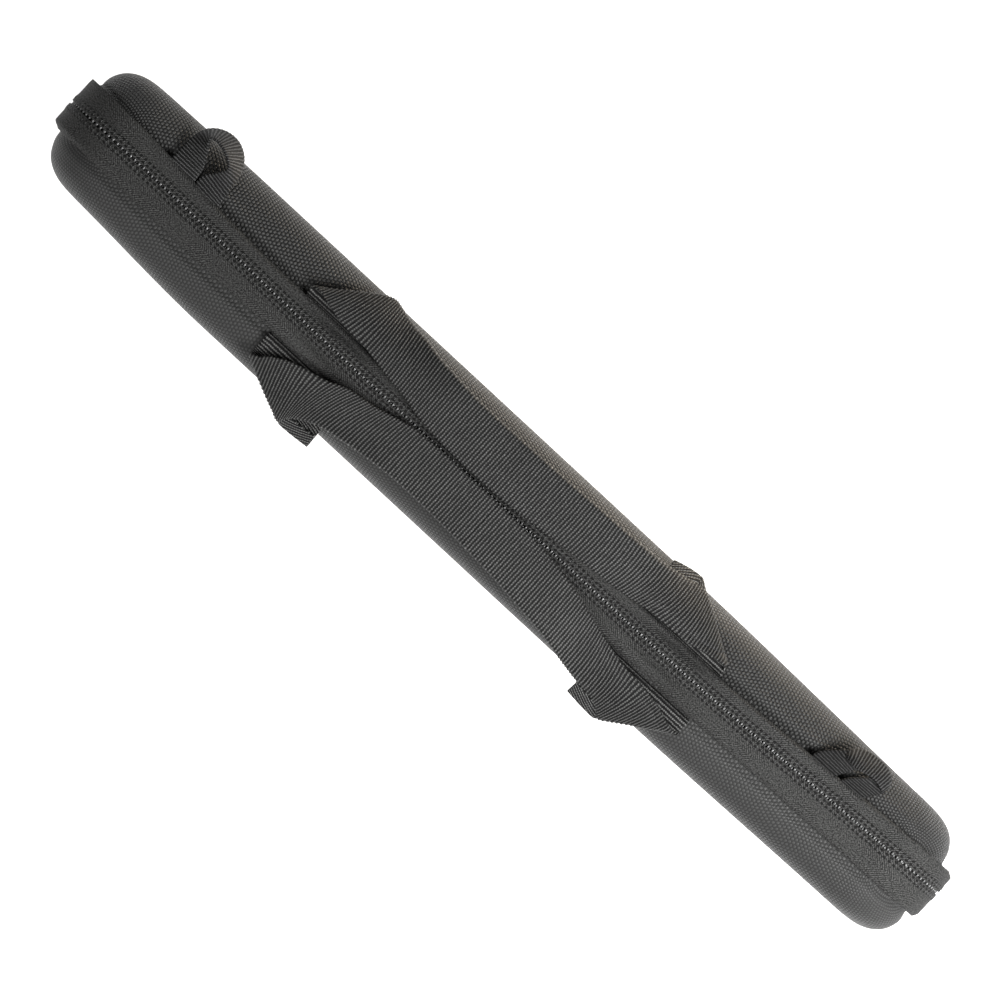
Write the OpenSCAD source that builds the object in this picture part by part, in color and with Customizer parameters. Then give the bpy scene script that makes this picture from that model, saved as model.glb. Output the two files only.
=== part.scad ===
// Rod case: a hard moulded clam-shell case for short fishing rods, standing on its hinge side.
// +X runs along the case, +Y is the lid's side, -Y is the base's side and the zip is on top.
// Z = 0 is the underside of the hinge strip. Lengths are in millimetres, angles in degrees.

/* [Shells] */
// Length of the two moulded shells
case_length = 566; // [500:2:640]
// Height of the shells, from the hinge side to the zip side
case_height = 128; // [116:1:150]
// Depth of one shell, from the parting plane to its broad face
shell_depth = 37; // [36:1:46]
// Radius of the shell's four corners, seen on the broad face
corner_radius = 35; // [32:1:40]
// Radius between the shell's side wall and its broad face
edge_radius = 25; // [20:1:26]
// Thickness of the moulded foam and its fabric skin
shell_wall = 4; // [3:0.5:5]
// Thickness of the lining inside each shell
lining_wall = 1; // [0.8:0.1:1.5]
// Gap between each shell's rim and the parting plane
rim_gap = 0.3; // [0.2:0.1:0.5]

/* [Rim and zip] */
// Height of the raised rim that the zip tape is sewn on
rim_height = 3; // [2.5:0.1:4]
// Thickness of the zip tape and of the hinge strip
tape_thick = 1.2; // [1:0.1:1.5]
// Outer edge of the base's zip tape, from the parting plane
base_tape_edge = 14.2; // [13.6:0.1:14.4]
// Outer edge of the lid's zip tape, from the parting plane
lid_tape_edge = 11.6; // [11:0.1:14.4]
// Inner edge of each zip tape and coil, from the parting plane
zip_gap = 0.5; // [0.4:0.05:0.6]
// Height at which the zip ends, on both end faces
zip_end_z = 41; // [40:1:50]
// Length of the hinge strip
hinge_length = 480; // [420:5:490]

/* [Handles] */
// Distance from the middle of the case to the middle of each sewn handle end
handle_reach = 112.5; // [105:0.5:120]
// Width of the handle webbing
webbing_width = 50; // [45:1:52]
// Width of the grip, where the webbing is folded in half
grip_width = 26; // [24:0.5:28]
// Thickness of the folded grip
grip_thick = 3.4; // [3:0.1:4]
// Farthest reach of the handle's fold from the parting plane
fold_reach = 44.5; // [43:0.5:46]

/* [Strap loops] */
// Width of the two sewn legs of a loop, side by side
loop_width = 34; // [30:1:36]
// How far a loop stands out from its seam
loop_length = 30; // [28:1:31]
// Radius of the round ends of the loop's eye
eye_radius = 4.2; // [3.5:0.1:5]
// Places of the two loops along the case
loop_places = [-212, 211];

/* [Inside] */
// Places of the two foam rod racks along the case
rack_places = [-150, 150];
// Thickness of a rack, along the case
rack_thick = 30; // [20:1:34]
// Number of slots in a rack
rack_slots = 3; // [2:1:3]
// Width of one slot
slot_width = 13; // [10:0.5:14]
// Distance between slots
slot_pitch = 29; // [26:1:30]
// Places of the two elastic bands along the case
band_places = [-110, 110];
// Width of an elastic band
band_width = 25; // [20:1:25]

/* [Hidden] */

lid_side = 1;
base_side = -1;

// The shells stand on the rim and the hinge strip
shell_bottom = rim_height + tape_thick;
centre_z = shell_bottom + case_height / 2;
shell_top = shell_bottom + case_height;
tape_top = shell_top + rim_height + tape_thick;
corner_x = case_length / 2 - corner_radius;
corner_z = case_height / 2 - corner_radius;
corner_fn = 48;
edge_step = 9;

// The tape's outer edge on each side; the raised rim under it ends a little before the edge
function tape_edge(side) = side == base_side ? base_tape_edge : lid_tape_edge;
rim_near = 4;
rim_inset = 1.2;
rim_sink = 1;
// The coil lies under the tape, in the groove between the two rims
coil_far = 3.3;
coil_low = 1.2;
// Small parts keep this far from what they move past
clear = 0.4;

// The seam from which the handles and the strap loops come out, and about which they lift
function seam_y(side) = tape_edge(side) + 1.3;
seam_z = shell_top + 2.3;
seam_inset = 0.4;
strap_thick = 1.6;
fold_drop = 15;

// Inner faces of the lined shell
inner_wall = shell_wall + lining_wall;
inner_face = shell_depth - inner_wall;
inner_low = shell_bottom + inner_wall;
inner_high = shell_top - inner_wall;
binding_thick = 1.2;
binding_gap = 0.15;

// The slider's rest place on the front end face
slider_z = 54;
slider_length = 12;
end_x = case_length / 2;
plate_x = end_x + rim_height + tape_thick + clear;
plate_thick = 1.4;
pin_x = plate_x + plate_thick + 0.9;
pin_radius = 0.5;
bridge_half = 2.8;
bridge_post = 0.8;

// ---- helpers ----

// Puts a part drawn on the lid's side on either side of the parting plane
module on_side(side) {
    mirror([0, side == base_side ? 1 : 0, 0]) children();
}

// The outline of the shells in the X-Z plane, grown outwards all round
module outline(grow) {
    radius = corner_radius + grow;
    square([2 * (corner_x + radius), 2 * corner_z], center = true);
    square([2 * corner_x, 2 * (corner_z + radius)], center = true);
    for (x = [-corner_x, corner_x], z = [-corner_z, corner_z])
        translate([x, z]) circle(radius, $fn = 96);
}

// Extrudes a shape of the X-Z plane from one distance off the parting plane to another
module from_to(near, far) {
    translate([0, far, centre_z])
        rotate([90, 0, 0])
            linear_extrude(far - near) children();
}

// A band that follows the outline, between two distances from the shell's side wall
module outline_band(low, high, near, far) {
    from_to(near, far)
        difference() {
            outline(high);
            outline(low);
        }
}

// One corner of a shell: a round post whose far edge is rounded
module shell_corner(radius, edge, depth) {
    edge_arc = [
        for (a = [0 : edge_step : 90])
            [radius - edge + edge * cos(a), depth - edge + edge * sin(a)]
    ];
    rotate_extrude($fn = corner_fn)
        polygon(concat([[0, 0], [radius, 0]], edge_arc, [[0, depth]]));
}

// The solid space inside a shell's surface, shrunk by the same amount all round
module shell_space(shrink, rim) {
    translate([0, rim, centre_z])
        rotate([-90, 0, 0])
            hull()
                for (x = [-corner_x, corner_x], z = [-corner_z, corner_z])
                    translate([x, z, 0])
                        shell_corner(corner_radius - shrink, edge_radius - shrink,
                            shell_depth - shrink - rim);
}

// Everything above a height
module above(height) {
    translate([-case_length, -case_height, height])
        cube([2 * case_length, 2 * case_height, 2 * case_height]);
}

// ---- shells and their linings ----

// Moulded half shell with the raised rim that the zip and the hinge are sewn on
module half_shell(side) {
    difference() {
        union() {
            shell_space(0, rim_gap);
            outline_band(-rim_sink, rim_height, rim_near, tape_edge(side) - rim_inset);
        }
        shell_space(shell_wall, -1);
    }
}

// Fabric lining glued to the inside of a shell
module lining() {
    difference() {
        shell_space(shell_wall, rim_gap);
        shell_space(inner_wall, -1);
    }
}

// Binding tape that covers the raw edge inside the rim
module rim_binding() {
    low = inner_wall + binding_gap;
    outline_band(-low - binding_thick, -low, rim_gap + clear, 6.5);
}

// ---- zip and hinge ----

// One half of the zip tape, over the top and down both ends
module zip_tape(side) {
    intersection() {
        outline_band(rim_height, rim_height + tape_thick, zip_gap, tape_edge(side));
        above(zip_end_z);
    }
}

// One half of the coil
module zip_coil() {
    intersection() {
        outline_band(coil_low, rim_height, zip_gap, coil_far);
        above(zip_end_z + 3);
    }
}

// The two stops at the ends of the coil
module zip_stops() {
    color("dimgray")
        for (end = [-1, 1])
            translate([end * (end_x + (coil_low + rim_height) / 2), 0, zip_end_z + 1.5])
                cube([rim_height - coil_low - 0.2, 2 * coil_far, 2.4], center = true);
}

// One leaf of the fabric hinge, on the underside
module hinge_leaf(side) {
    intersection() {
        outline_band(rim_height, rim_height + tape_thick, rim_gap, tape_edge(side));
        translate([-hinge_length / 2, 0, -1])
            cube([hinge_length, case_height, shell_bottom]);
    }
}

// ---- rod racks, bands and pocket ----

// Foam block cut to the shape of the base, with a slot for each rod
module rod_rack(place) {
    front = 7;
    back = inner_face - 0.5;
    shoulder = 20;
    foot = inner_low + 2.8;
    head = inner_high - 2.8;
    slot_depth = 18;
    color("dimgray")
        on_side(base_side)
            translate([place - rack_thick / 2, 0, 0])
                rotate([90, 0, 90])
                    linear_extrude(rack_thick)
                        difference() {
                            polygon([
                                [front, foot], [shoulder, foot + 2], [back, foot + 16],
                                [back, head - 16], [shoulder, head - 2], [front, head]
                            ]);
                            for (i = [0 : rack_slots - 1])
                                translate([front, centre_z + (i - (rack_slots - 1) / 2) * slot_pitch]) {
                                    translate([-1, -slot_width / 2])
                                        square([slot_depth - slot_width / 2 + 1, slot_width]);
                                    translate([slot_depth - slot_width / 2, 0])
                                        circle(d = slot_width, $fn = 48);
                                }
                        }
}

// Elastic band sewn to the lining at its top and bottom
module rod_band(place) {
    band_y = 8;
    color("gray")
        on_side(base_side)
            translate([place - band_width / 2, band_y, inner_low])
                cube([band_width, 1.5, inner_high - inner_low]);
}

// Mesh panel that lies on the lid's lining
pocket_length = 400;
pocket_low = centre_z - 36;
pocket_high = centre_z + 22;
pocket_y = inner_face - 1.6;
module mesh_pocket() {
    color("darkslategray")
        translate([-pocket_length / 2, pocket_y, pocket_low])
            cube([pocket_length, 0.8, pocket_high - pocket_low]);
}

// Elastic binding along the pocket's mouth
module pocket_binding() {
    color("black")
        translate([-pocket_length / 2, pocket_y - 0.4, pocket_high])
            cube([pocket_length, 1.6, 10]);
}

// ---- handles ----

// Cross-section of a sewn handle end: the webbing leaves the seam, passes over the shell's round edge
// and falls to its fold
edge_start = shell_depth - edge_radius;
module handle_end_profile(side) {
    root = seam_y(side) - seam_inset;
    polygon([
        [root, seam_z - strap_thick / 2],
        [edge_start + 10, shell_top - 1.2],
        [edge_start + 18, shell_top - 6.2],
        [fold_reach - 1, seam_z - fold_drop],
        [fold_reach, seam_z - fold_drop + 1.5],
        [fold_reach - 1.5, seam_z - fold_drop + 4.5],
        [root + 5, seam_z + strap_thick / 2 + 1.4],
        [root, seam_z + strap_thick / 2]
    ]);
}

// The two sewn ends of a handle
module handle_ends(side) {
    for (end = [-1, 1])
        translate([end * handle_reach - webbing_width / 2, 0, 0])
            rotate([90, 0, 90])
                linear_extrude(webbing_width) handle_end_profile(side);
}

// A thin slice across the grip, from its edge near the zip to its outer edge
module grip_slice(place, near, tilt, height) {
    translate([place, near, height])
        rotate([-tilt, 0, 0])
            cube([0.5, grip_width, grip_thick]);
}

// Half of the grip's webbing: it swings in from the fold to lie beside the zip
grip_z = tape_top + 2.5;
grip_near = 1;
grip_straight = 48;
module grip_half() {
    middle = 66;
    end_of_grip = handle_reach - webbing_width / 2 - clear - 0.5;
    hull() {
        grip_slice(grip_straight, grip_near, 0, grip_z);
        grip_slice(middle, grip_near + 4, 4, grip_z + 0.5);
    }
    hull() {
        grip_slice(middle, grip_near + 4, 4, grip_z + 0.5);
        grip_slice(end_of_grip, grip_near + 13, 14, grip_z + 0.8);
    }
}

// The grip, with its straight middle
module handle_grip() {
    union() {
        translate([-grip_straight - 0.5, grip_near, grip_z])
            cube([2 * grip_straight + 1, grip_width, grip_thick]);
        grip_half();
        mirror([1, 0, 0]) grip_half();
    }
}

// ---- strap loops ----

// Outline of a strap loop: two legs side by side, a round crown and the eye between them
module loop_outline() {
    foot_length = loop_length / 2;
    eye_y = foot_length + 2;
    eye_half = 5;
    difference() {
        union() {
            translate([-loop_width / 2, 0]) square([loop_width, foot_length]);
            translate([0, foot_length]) circle(foot_length, $fn = 64);
        }
        for (x = [-eye_half, eye_half])
            translate([x, eye_y]) circle(eye_radius, $fn = 32);
        translate([-eye_half, eye_y - eye_radius]) square([2 * eye_half, 2 * eye_radius]);
    }
}

// Flat webbing loop, sewn into the lid's seam
module strap_loop(place) {
    color("dimgray")
        translate([place, seam_y(lid_side) - seam_inset, seam_z - strap_thick / 2])
            rotate([-8, 0, 0])
                linear_extrude(strap_thick) loop_outline();
}

// ---- slider ----

// Slider: a plate over the tape and one under the coil, joined through the gap between the tapes
module slider_body() {
    half = slider_length / 2;
    under_x = end_x + 0.3;
    under_thick = 0.6;
    color("gainsboro")
        translate([0, 0, slider_z]) {
            translate([plate_x, -4.6, -half]) cube([plate_thick, 9.2, slider_length]);
            translate([under_x, -3.2, -half]) cube([under_thick, 6.4, slider_length]);
            translate([under_x, -0.1, -half + 2]) cube([plate_x - under_x + 0.2, 0.2, 8]);
            difference() {
                translate([plate_x + plate_thick - 0.2, -1.2, -bridge_half])
                    cube([3, 2.4, 2 * bridge_half]);
                translate([plate_x + plate_thick, -2, -bridge_half + bridge_post])
                    cube([1.8, 4, 2 * (bridge_half - bridge_post)]);
            }
        }
}

// Pull tab: two arms on a pin that passes under the slider's bridge
module slider_pull() {
    arm = 5;
    tab_length = 22;
    tab_half = 3.2;
    thick = 2 * pin_radius;
    color("silver")
        translate([pin_x, 0, slider_z]) {
            rotate([90, 0, 0])
                cylinder(r = pin_radius, h = 5.4, center = true, $fn = 32);
            for (y = [-2.7, 1.9])
                translate([-pin_radius, y, -arm]) cube([thick, 0.8, arm]);
            difference() {
                translate([-pin_radius, -tab_half, -tab_length])
                    cube([thick, 2 * tab_half, tab_length - arm + 0.4]);
                translate([0, 0, -tab_length + 4])
                    rotate([0, 90, 0])
                        cylinder(r = 1.5, h = 3, center = true, $fn = 32);
            }
        }
}

// ---- named parts ----

shell_colour = "#3c3d3f";
trim_colour = "#2a2a2c";
strap_colour = "#4a4b4e";
lining_colour = "#222325";

module base_shell() { color(shell_colour) on_side(base_side) half_shell(base_side); }
module lid_shell() { color(shell_colour) on_side(lid_side) half_shell(lid_side); }
module base_lining() { color(lining_colour) on_side(base_side) lining(); }
module lid_lining() { color(lining_colour) on_side(lid_side) lining(); }
module base_rim_binding() { color(trim_colour) on_side(base_side) rim_binding(); }
module lid_rim_binding() { color(trim_colour) on_side(lid_side) rim_binding(); }
module zip_tape_base() { color(trim_colour) on_side(base_side) zip_tape(base_side); }
module zip_tape_lid() { color(trim_colour) on_side(lid_side) zip_tape(lid_side); }
module zip_coil_base() { color("dimgray") on_side(base_side) zip_coil(); }
module zip_coil_lid() { color("dimgray") on_side(lid_side) zip_coil(); }
module hinge_strip_base() { color(trim_colour) on_side(base_side) hinge_leaf(base_side); }
module hinge_strip_lid() { color(trim_colour) on_side(lid_side) hinge_leaf(lid_side); }
module base_handle_ends() { color(strap_colour) on_side(base_side) handle_ends(base_side); }
module lid_handle_ends() { color(strap_colour) on_side(lid_side) handle_ends(lid_side); }
module base_handle_grip() { color(strap_colour) on_side(base_side) handle_grip(); }
module lid_handle_grip() { color(strap_colour) on_side(lid_side) handle_grip(); }

base_shell();
base_lining();
base_rim_binding();
zip_tape_base();
zip_coil_base();
zip_stops();
hinge_strip_base();
rod_rack(rack_places[0]);  // rear_rod_rack
rod_rack(rack_places[1]);  // front_rod_rack
rod_band(band_places[0]);  // rear_rod_band
rod_band(band_places[1]);  // front_rod_band
lid_shell();
lid_lining();
lid_rim_binding();
zip_tape_lid();
zip_coil_lid();
hinge_strip_lid();
mesh_pocket();
pocket_binding();
base_handle_ends();
base_handle_grip();
lid_handle_ends();
lid_handle_grip();
strap_loop(loop_places[0]);  // rear_strap_loop
strap_loop(loop_places[1]);  // front_strap_loop
slider_body();
slider_pull();
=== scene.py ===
# Rod case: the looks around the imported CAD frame. +X runs along the case, +Y is the lid's side and +Z is
# the zip's side. Lengths are in millimetres, except those of materials' bumps, the stage, the lights and the
# camera, which are in metres like the scene itself.
import math

import bpy
import numpy as np
from mathutils import Matrix, Vector


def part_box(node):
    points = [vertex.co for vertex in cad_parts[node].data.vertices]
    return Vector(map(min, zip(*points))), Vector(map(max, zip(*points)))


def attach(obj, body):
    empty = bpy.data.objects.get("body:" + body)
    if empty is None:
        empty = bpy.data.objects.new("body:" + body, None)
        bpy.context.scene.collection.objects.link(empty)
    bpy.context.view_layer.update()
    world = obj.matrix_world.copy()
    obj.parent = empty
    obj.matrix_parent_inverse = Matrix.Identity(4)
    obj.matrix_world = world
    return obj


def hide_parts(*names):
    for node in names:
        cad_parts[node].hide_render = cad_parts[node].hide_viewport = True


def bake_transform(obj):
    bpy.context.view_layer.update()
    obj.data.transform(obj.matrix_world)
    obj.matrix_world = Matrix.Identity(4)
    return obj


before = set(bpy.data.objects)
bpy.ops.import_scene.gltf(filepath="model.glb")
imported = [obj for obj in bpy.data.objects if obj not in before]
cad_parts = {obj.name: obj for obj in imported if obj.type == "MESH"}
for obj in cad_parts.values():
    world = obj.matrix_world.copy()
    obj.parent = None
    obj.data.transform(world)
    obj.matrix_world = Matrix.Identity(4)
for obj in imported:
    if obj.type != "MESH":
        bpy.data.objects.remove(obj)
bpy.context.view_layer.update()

MM = 0.001
LID, BASE = 1, -1
NAMES = {LID: "lid", BASE: "base"}

# ---- sizes, from the frame and from the CAD's own driving values ----


def node_box(name):
    """Corners of a CAD node's box."""
    low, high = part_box(name)
    return np.array(low) / MM, np.array(high) / MM


shell_low, shell_high = node_box("lid_shell")
tape_low, tape_high = node_box("zip_tape_lid")
base_tape_low, _ = node_box("zip_tape_base")
RIM = 3.0  # the raised rim stands this far out of the side wall
CORNER = 35.0  # corner radius of the outline
EDGE = 25.0  # the round edge's reach over the broad face
EDGE_DEPTH = 21.5  # and down the side wall
ROUNDNESS = 2.5  # power of the round edge's superellipse
WALL = 4.0
LINING = 1.0
SHALLOWER = 1.1  # the visible shells are this much shallower than the CAD's
HALF_X = shell_high[0] - RIM
DEPTH = shell_high[1] - SHALLOWER
TOP = shell_high[2] - RIM
BOTTOM = shell_low[2] + RIM
CENTRE_Z = (TOP + BOTTOM) / 2
CORNER_X = HALF_X - CORNER
CORNER_Z = (TOP - BOTTOM) / 2 - CORNER
ZIP_END = tape_low[2]
TAPE_TOP = tape_high[2]
SEAM_Z = TOP + 2.3  # the seam that the webbing comes out of
SEAM_Y = {LID: tape_high[1] + 1.3, BASE: -base_tape_low[1] + 1.3}
ZIP_GAP = 0.80  # from the zip's line to the edge of each tape
TOOTH_PITCH = 2.8
STITCH_ROWS = (1.95, 3.75)  # holes beside the coil, from the zip's line
STRAP = 1.3  # thickness of the handles' webbing
HALF_STRAP = 25.0  # the strap's width, folded in half
RIB = 1.75  # pitch of the handles' ribs
LOOP_RIB = 1.5
LOOP_WIDTH = 15.8
LOOP_BULGE = (0.5, 0.0, 1.2)  # of each ribbon between its edges
LAYER_GAP = 1.75  # between the two layers of a folded strap
FOLD_RADIUS = 0.85  # of the webbing at a handle's sewn end
SHOULDER = 0.0165  # how fast the webbing falls over the shell's shoulder


def smooth(low, high, x):
    """0 below low, 1 above high, and a smooth step between."""
    t = np.clip((np.asarray(x, float) - low) / (high - low), 0, 1)
    return t * t * (3 - 2 * t)


def bell(x, centre, width):
    """A smooth bump of height 1 round a centre."""
    return np.exp(-(((np.asarray(x, float) - centre) / width) ** 2))


# ---- mesh helpers ----


def in_scene(obj):
    """Puts an object in the scene and gives it back."""
    bpy.context.scene.collection.objects.link(obj)
    return obj


def new_object(name, points, faces, uvs):
    """A smooth mesh object from points in millimetres, faces as index tuples and one UV pair a point."""
    mesh = bpy.data.meshes.new(name)
    mesh.from_pydata((np.asarray(points, float) * MM).tolist(), [], [tuple(map(int, f)) for f in faces])
    mesh.validate(clean_customdata=False)
    layer = mesh.uv_layers.new(name="UVMap")
    index = np.empty(len(mesh.loops), np.int32)
    mesh.loops.foreach_get("vertex_index", index)
    layer.data.foreach_set("uv", np.asarray(uvs, np.float32)[index].ravel())
    mesh.polygons.foreach_set("use_smooth", [True] * len(mesh.polygons))
    mesh.update()
    return in_scene(bpy.data.objects.new(name, mesh))


def grid_faces(rows, columns, start=0, close_rows=False, close_columns=False, flip=False):
    """Four-sided faces between the neighbours of a grid of points numbered from start."""
    faces = []
    for i in range(rows if close_rows else rows - 1):
        for j in range(columns if close_columns else columns - 1):
            a = start + i * columns + j
            b = start + i * columns + (j + 1) % columns
            c = start + ((i + 1) % rows) * columns + (j + 1) % columns
            d = start + ((i + 1) % rows) * columns + j
            faces.append((d, c, b, a) if flip else (a, b, c, d))
    return faces


def grid_normals(points, close_rows=False):
    """Unit normals of a grid of points, row direction crossed with column direction."""
    if close_rows:
        rows = np.roll(points, -1, 0) - np.roll(points, 1, 0)
    else:
        rows = np.gradient(points, axis=0)
    columns = np.gradient(points, axis=1)
    normals = np.cross(rows, columns)
    return normals / np.maximum(np.linalg.norm(normals, axis=2, keepdims=True), 1e-9)


def thick_sheet(name, points, uvs, thickness, lift=None, close_rows=False, flip=False):
    """A closed sheet of cloth round a grid of middle points: two faces and a hem all round."""
    if flip:
        points, uvs = points[:, ::-1], uvs[:, ::-1]
        lift = None if lift is None else lift[:, ::-1]
    rows, columns = points.shape[:2]
    normals = grid_normals(points, close_rows)
    half = thickness / 2
    ribs = 0 if lift is None else lift[..., None]
    top = points + normals * (half + ribs)
    under = points - normals * (half + ribs)
    cloud = np.concatenate([top.reshape(-1, 3), under.reshape(-1, 3)])
    both_uvs = np.concatenate([uvs.reshape(-1, 2), uvs.reshape(-1, 2)])
    count = rows * columns
    faces = grid_faces(rows, columns, 0, close_rows)
    faces += grid_faces(rows, columns, count, close_rows, flip=True)
    last = rows if close_rows else rows - 1
    for i in range(last):
        a, b = i * columns, ((i + 1) % rows) * columns
        faces.append((a, b, b + count, a + count))
        a, b = a + columns - 1, b + columns - 1
        faces.append((b, a, a + count, b + count))
    if not close_rows:
        for j in range(columns - 1):
            faces.append((j + 1, j, j + count, j + 1 + count))
            a = (rows - 1) * columns + j
            faces.append((a, a + 1, a + 1 + count, a + count))
    return new_object(name, cloud, faces, both_uvs)


def many(name, shape, places):
    """One object out of many copies of a small shape. A place is (origin, x axis, y axis, z axis)."""
    points, faces, uvs = [], [], []
    base_points, base_faces = shape
    for k, (origin, ax, ay, az) in enumerate(places):
        basis = np.array([ax, ay, az])
        points.append(base_points @ basis + np.asarray(origin))
        faces += [tuple(i + k * len(base_points) for i in f) for f in base_faces]
        uvs.append(base_points[:, :2] + [3.7 * k, 0])
    return new_object(name, np.concatenate(points), faces, np.concatenate(uvs))


def pill(length, width, height, segments):
    """A rounded thread or tooth along X."""
    points, faces = [], []
    stations = (-1.0, -0.86, -0.55, 0.0, 0.55, 0.86, 1.0)
    for s in stations:
        r = math.sqrt(max(0.0, 1 - abs(s) ** 2.6))
        for k in range(segments):
            a = 2 * math.pi * k / segments
            points.append((s * length / 2, r * math.cos(a) * width / 2, r * math.sin(a) * height / 2))
    for i in range(len(stations) - 1):
        for k in range(segments):
            a, b = i * segments + k, i * segments + (k + 1) % segments
            faces.append((a, a + segments, b + segments, b))
    return np.array(points), faces


def catmull(keys, samples):
    """Smooth curve through key rows, with evenly spaced parameters."""
    keys = np.asarray(keys, float)
    padded = np.concatenate([2 * keys[:1] - keys[1:2], keys, 2 * keys[-1:] - keys[-2:-1]])
    t = np.linspace(0, len(keys) - 1, samples)
    i = np.minimum(t.astype(int), len(keys) - 2)
    f = (t - i)[:, None]
    p0, p1, p2, p3 = padded[i], padded[i + 1], padded[i + 2], padded[i + 3]
    square = 2 * p0 - 5 * p1 + 4 * p2 - p3
    cube = 3 * p1 - p0 - 3 * p2 + p3
    return 0.5 * (2 * p1 + (p2 - p0) * f + square * f**2 + cube * f**3)


# ---- material helpers ----


def grey(value):
    return (value, value, value)


class Nodes:
    """Builds one material's nodes; most methods give back the socket that they make."""

    def __init__(self, name):
        self.material = bpy.data.materials.new(name)
        self.material.use_nodes = True
        self.tree = self.material.node_tree
        self.tree.nodes.clear()
        out = self.new("OutputMaterial")
        self.shader = self.new("BsdfPrincipled")
        self.link(self.shader.outputs[0], out.inputs[0])

    def new(self, kind):
        return self.tree.nodes.new(f"ShaderNode{kind}")

    def link(self, a, b):
        self.tree.links.new(a, b)

    def fill(self, node, values):
        """Links or sets inputs, by name or by number."""
        for key, value in values.items():
            if isinstance(value, bpy.types.NodeSocket):
                self.link(value, node.inputs[key])
            else:
                node.inputs[key].default_value = value
        return node.outputs[0]

    def math(self, operation, a, b=0.0, c=0.0):
        node = self.new("Math")
        node.operation = operation
        return self.fill(node, {0: a, 1: b, 2: c})

    def plus(self, a, b):
        return self.math("ADD", a, b)

    def minus(self, a, b):
        return self.math("SUBTRACT", a, b)

    def times(self, a, b):
        return self.math("MULTIPLY", a, b)

    def line(self, value, slope, offset):
        return self.math("MULTIPLY_ADD", value, slope, offset)

    def mix(self, factor, a, b):
        """Mixes two colours, each a socket or three numbers."""
        node = self.new("Mix")
        node.data_type = "RGBA"
        a, b = ((*colour, 1.0) if isinstance(colour, tuple) else colour for colour in (a, b))
        self.fill(node, {0: factor, 6: a, 7: b})
        return node.outputs[2]

    def scale_colour(self, colour, factor):
        node = self.new("VectorMath")
        node.operation = "SCALE"
        return self.fill(node, {0: colour, 3: factor})

    def uv(self):
        """The UV vector and its two parts, in millimetres."""
        node = self.new("UVMap")
        node.uv_map = "UVMap"
        parts = self.new("SeparateXYZ")
        self.link(node.outputs[0], parts.inputs[0])
        return node.outputs[0], parts.outputs[0], parts.outputs[1]

    def place(self):
        """Object coordinates, in metres."""
        return self.new("TexCoord").outputs["Object"]

    def noise(self, vector, scale, detail=2.0, rough=0.5):
        values = {"Vector": vector, "Scale": scale, "Detail": detail, "Roughness": rough}
        return self.fill(self.new("TexNoise"), values)

    def ramp(self, value, low, high, to_low=0.0, to_high=1.0):
        """A smooth step from low to high."""
        node = self.new("MapRange")
        node.interpolation_type = "SMOOTHSTEP"
        return self.fill(node, {0: value, 1: low, 2: high, 3: to_low, 4: to_high})

    def wave(self, value, period):
        """1 at each whole period of the value, 0 half-way between."""
        return self.line(self.math("COSINE", self.times(value, 2 * math.pi / period)), 0.5, 0.5)

    def lattice(self, u, v, step_u, step_v, shift):
        """Distance to the nearest point of a lattice."""
        squares = []
        for value, step in ((u, step_u), (v, step_v)):
            turn = self.plus(self.math("DIVIDE", value, step), 0.5 + shift)
            part = self.times(self.minus(self.math("FRACT", turn), 0.5), step)
            squares.append(self.times(part, part))
        return self.math("SQRT", self.plus(*squares))

    def bump(self, height, distance, strength=1.0, normal=None):
        values = {"Strength": strength, "Distance": distance, "Height": height}
        if normal is not None:
            values["Normal"] = normal
        return self.fill(self.new("Bump"), values)

    def finish(self, colour, roughness, normal=None, sheen=0.0, sheen_rough=0.4, specular=0.5,
               metallic=0.0):
        """Sets the shader and gives back the material."""
        values = {"Base Color": colour, "Roughness": roughness, "Metallic": metallic,
                  "Specular IOR Level": specular, "Sheen Weight": sheen, "Sheen Roughness": sheen_rough}
        if normal is not None:
            values["Normal"] = normal
        self.fill(self.shader, values)
        return self.material


def shell_fabric(name, dark, light, relief):
    """Coated weave with a raised dot at every crossing, in staggered rows."""
    n = Nodes(name)
    vector, u, v = n.uv()
    wander = n.noise(vector, 0.018, 1)
    v = n.plus(v, n.times(wander, 14.0))
    near = n.math("MINIMUM", n.lattice(u, v, 3.5, 2.05, 0.0), n.lattice(u, v, 3.5, 2.05, 0.5))
    dots = n.ramp(near, 1.0, 0.30)
    grain = n.noise(vector, 2.2, 3)
    patch = n.noise(vector, 0.03, 3)
    colour = n.mix(dots, dark, light)
    shade = n.line(patch, 0.35, 0.82)
    shade = n.times(shade, n.line(grain, 0.30, 0.85))
    colour = n.scale_colour(colour, shade)
    rough = n.line(dots, -0.14, 0.66)
    normal = n.bump(dots, relief, 1.0)
    normal = n.bump(grain, 0.00008, 0.5, normal)
    return n.finish(colour, rough, normal, sheen=0.14, sheen_rough=0.25, specular=0.42)


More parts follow.
